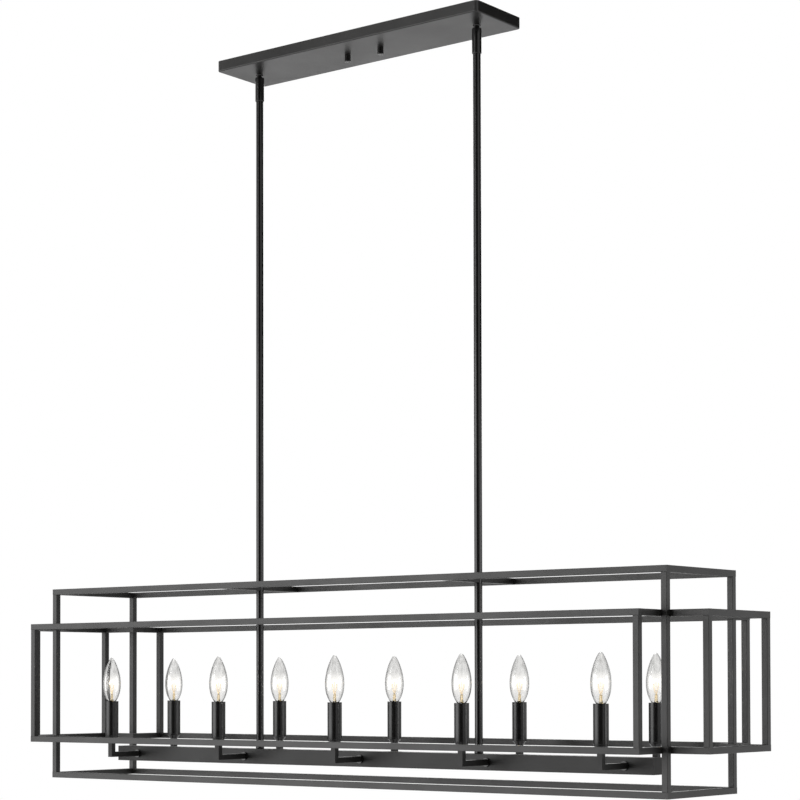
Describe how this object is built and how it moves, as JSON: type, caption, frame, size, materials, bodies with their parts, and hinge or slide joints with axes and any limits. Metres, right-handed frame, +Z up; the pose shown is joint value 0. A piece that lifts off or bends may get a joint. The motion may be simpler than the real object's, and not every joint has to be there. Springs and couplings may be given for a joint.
{
  "type": "linear island pendant light",
  "caption": "Linear pendant: two nested open box frames of square bar round a central bar that carries rows of candle lamps, hung by rods from a rectangular canopy.",
  "frame": {"origin": "ceiling plane, at the centre of the canopy's rim", "axes": "+Z up, X along the pendant's length, Y across it"},
  "size_m": [1.4, 0.327, 1.238],
  "materials": {
    "frame_black": "matte black powder coat",
    "canopy_black": "matte black powder coat",
    "fitting_black": "satin black powder coat",
    "sleeve_black": "matte black paint on a thin metal tube",
    "zinc_steel": "zinc-plated steel",
    "lead_jacket": "smooth black wire insulation",
    "connector_plastic": "moulded orange plastic",
    "socket_plastic": "moulded phenolic",
    "bulb_glass": "clear glass",
    "bulb_base": "bright screw shell, with the lit filament on its stem"
  },
  "bodies": {
    "ceiling_mount": {"mounting_strap": "zinc_steel", "canopy_studs": "zinc_steel", "canopy": "canopy_black", "cap_nuts": "canopy_black", "swivel_seats": "canopy_black", "canopy_leads": "lead_jacket", "wire_connectors": "connector_plastic"},
    "pendant": {"swivel_balls": "fitting_black", "swivel_couplers": "fitting_black", "rods": "frame_black", "rod_collars": "fitting_black", "rod_nuts": "zinc_steel", "rod_leads": "lead_jacket", "frame_hangers": "frame_black", "frame_top_rails": "frame_black", "frame_top_end_rails": "frame_black", "frame_bottom_rails": "frame_black", "frame_bottom_end_rails": "frame_black", "frame_posts": "frame_black", "ring_top_side_rails": "frame_black", "ring_top_end_rails": "frame_black", "ring_top_notch_rails": "frame_black", "ring_bottom_side_rails": "frame_black", "ring_bottom_end_rails": "frame_black", "ring_bottom_notch_rails": "frame_black", "ring_side_posts": "frame_black", "ring_end_posts": "frame_black", "bar_web": "frame_black", "bar_sides": "frame_black", "bar_cover": "frame_black", "bar_end_caps": "frame_black", "bar_trunk_lead": "lead_jacket", "arm_runs": "frame_black", "arm_uprights": "frame_black", "arm_rosettes": "fitting_black", "arm_nuts": "zinc_steel", "arm_leads": "lead_jacket", "candle_cups": "fitting_black", "lamp_sockets": "socket_plastic", "candle_sleeves": "sleeve_black"},
    "bulb_front_1_lift": {"bulb_glass_front_1": "bulb_glass"},
    "bulb_front_1_turn": {"bulb_base_front_1": "bulb_base"},
    "bulb_front_2_lift": {"bulb_glass_front_2": "bulb_glass"},
    "bulb_front_2_turn": {"bulb_base_front_2": "bulb_base"},
    "bulb_front_3_lift": {"bulb_glass_front_3": "bulb_glass"},
    "bulb_front_3_turn": {"bulb_base_front_3": "bulb_base"},
    "bulb_front_4_lift": {"bulb_glass_front_4": "bulb_glass"},
    "bulb_front_4_turn": {"bulb_base_front_4": "bulb_base"},
    "bulb_front_5_lift": {"bulb_glass_front_5": "bulb_glass"},
    "bulb_front_5_turn": {"bulb_base_front_5": "bulb_base"},
    "bulb_back_1_lift": {"bulb_glass_back_1": "bulb_glass"},
    "bulb_back_1_turn": {"bulb_base_back_1": "bulb_base"},
    "bulb_back_2_lift": {"bulb_glass_back_2": "bulb_glass"},
    "bulb_back_2_turn": {"bulb_base_back_2": "bulb_base"},
    "bulb_back_3_lift": {"bulb_glass_back_3": "bulb_glass"},
    "bulb_back_3_turn": {"bulb_base_back_3": "bulb_base"},
    "bulb_back_4_lift": {"bulb_glass_back_4": "bulb_glass"},
    "bulb_back_4_turn": {"bulb_base_back_4": "bulb_base"},
    "bulb_back_5_lift": {"bulb_glass_back_5": "bulb_glass"},
    "bulb_back_5_turn": {"bulb_base_back_5": "bulb_base"}
  },
  "joints": [
    {"name": "pendant_swing", "type": "hinge", "parent": "ceiling_mount", "child": "pendant", "pos_m": [0, 0, -0.0148], "axis": [1, 0, 0], "range_deg": [-25, 25]},
    {"name": "bulb_front_1_rise", "type": "slide", "parent": "pendant", "child": "bulb_front_1_lift", "axis": [0, 0, 1], "range_m": [0, 0.01016]},
    {"name": "bulb_front_1_unscrew", "type": "hinge", "parent": "bulb_front_1_lift", "child": "bulb_front_1_turn", "pos_m": [-0.51, -0.079, -1.1], "axis": [0, 0, 1], "range_deg": [0, 1440]},
    {"name": "bulb_front_2_rise", "type": "slide", "parent": "pendant", "child": "bulb_front_2_lift", "axis": [0, 0, 1], "range_m": [0, 0.01016]},
    {"name": "bulb_front_2_unscrew", "type": "hinge", "parent": "bulb_front_2_lift", "child": "bulb_front_2_turn", "pos_m": [-0.255, -0.079, -1.1], "axis": [0, 0, 1], "range_deg": [0, 1440]},
    {"name": "bulb_front_3_rise", "type": "slide", "parent": "pendant", "child": "bulb_front_3_lift", "axis": [0, 0, 1], "range_m": [0, 0.01016]},
    {"name": "bulb_front_3_unscrew", "type": "hinge", "parent": "bulb_front_3_lift", "child": "bulb_front_3_turn", "pos_m": [0, -0.079, -1.1], "axis": [0, 0, 1], "range_deg": [0, 1440]},
    {"name": "bulb_front_4_rise", "type": "slide", "parent": "pendant", "child": "bulb_front_4_lift", "axis": [0, 0, 1], "range_m": [0, 0.01016]},
    {"name": "bulb_front_4_unscrew", "type": "hinge", "parent": "bulb_front_4_lift", "child": "bulb_front_4_turn", "pos_m": [0.255, -0.079, -1.1], "axis": [0, 0, 1], "range_deg": [0, 1440]},
    {"name": "bulb_front_5_rise", "type": "slide", "parent": "pendant", "child": "bulb_front_5_lift", "axis": [0, 0, 1], "range_m": [0, 0.01016]},
    {"name": "bulb_front_5_unscrew", "type": "hinge", "parent": "bulb_front_5_lift", "child": "bulb_front_5_turn", "pos_m": [0.51, -0.079, -1.1], "axis": [0, 0, 1], "range_deg": [0, 1440]},
    {"name": "bulb_back_1_rise", "type": "slide", "parent": "pendant", "child": "bulb_back_1_lift", "axis": [0, 0, 1], "range_m": [0, 0.01016]},
    {"name": "bulb_back_1_unscrew", "type": "hinge", "parent": "bulb_back_1_lift", "child": "bulb_back_1_turn", "pos_m": [-0.51, 0.079, -1.1], "axis": [0, 0, 1], "range_deg": [0, 1440]},
    {"name": "bulb_back_2_rise", "type": "slide", "parent": "pendant", "child": "bulb_back_2_lift", "axis": [0, 0, 1], "range_m": [0, 0.01016]},
    {"name": "bulb_back_2_unscrew", "type": "hinge", "parent": "bulb_back_2_lift", "child": "bulb_back_2_turn", "pos_m": [-0.255, 0.079, -1.1], "axis": [0, 0, 1], "range_deg": [0, 1440]},
    {"name": "bulb_back_3_rise", "type": "slide", "parent": "pendant", "child": "bulb_back_3_lift", "axis": [0, 0, 1], "range_m": [0, 0.01016]},
    {"name": "bulb_back_3_unscrew", "type": "hinge", "parent": "bulb_back_3_lift", "child": "bulb_back_3_turn", "pos_m": [0, 0.079, -1.1], "axis": [0, 0, 1], "range_deg": [0, 1440]},
    {"name": "bulb_back_4_rise", "type": "slide", "parent": "pendant", "child": "bulb_back_4_lift", "axis": [0, 0, 1], "range_m": [0, 0.01016]},
    {"name": "bulb_back_4_unscrew", "type": "hinge", "parent": "bulb_back_4_lift", "child": "bulb_back_4_turn", "pos_m": [0.255, 0.079, -1.1], "axis": [0, 0, 1], "range_deg": [0, 1440]},
    {"name": "bulb_back_5_rise", "type": "slide", "parent": "pendant", "child": "bulb_back_5_lift", "axis": [0, 0, 1], "range_m": [0, 0.01016]},
    {"name": "bulb_back_5_unscrew", "type": "hinge", "parent": "bulb_back_5_lift", "child": "bulb_back_5_turn", "pos_m": [0.51, 0.079, -1.1], "axis": [0, 0, 1], "range_deg": [0, 1440]}
  ],
  "couplings": [
    {"joint": "bulb_front_1_unscrew", "follows": "bulb_front_1_rise", "rad_per_m": 2473.7},
    {"joint": "bulb_front_2_unscrew", "follows": "bulb_front_2_rise", "rad_per_m": 2473.7},
    {"joint": "bulb_front_3_unscrew", "follows": "bulb_front_3_rise", "rad_per_m": 2473.7},
    {"joint": "bulb_front_4_unscrew", "follows": "bulb_front_4_rise", "rad_per_m": 2473.7},
    {"joint": "bulb_front_5_unscrew", "follows": "bulb_front_5_rise", "rad_per_m": 2473.7},
    {"joint": "bulb_back_1_unscrew", "follows": "bulb_back_1_rise", "rad_per_m": 2473.7},
    {"joint": "bulb_back_2_unscrew", "follows": "bulb_back_2_rise", "rad_per_m": 2473.7},
    {"joint": "bulb_back_3_unscrew", "follows": "bulb_back_3_rise", "rad_per_m": 2473.7},
    {"joint": "bulb_back_4_unscrew", "follows": "bulb_back_4_rise", "rad_per_m": 2473.7},
    {"joint": "bulb_back_5_unscrew", "follows": "bulb_back_5_rise", "rad_per_m": 2473.7}
  ]
}
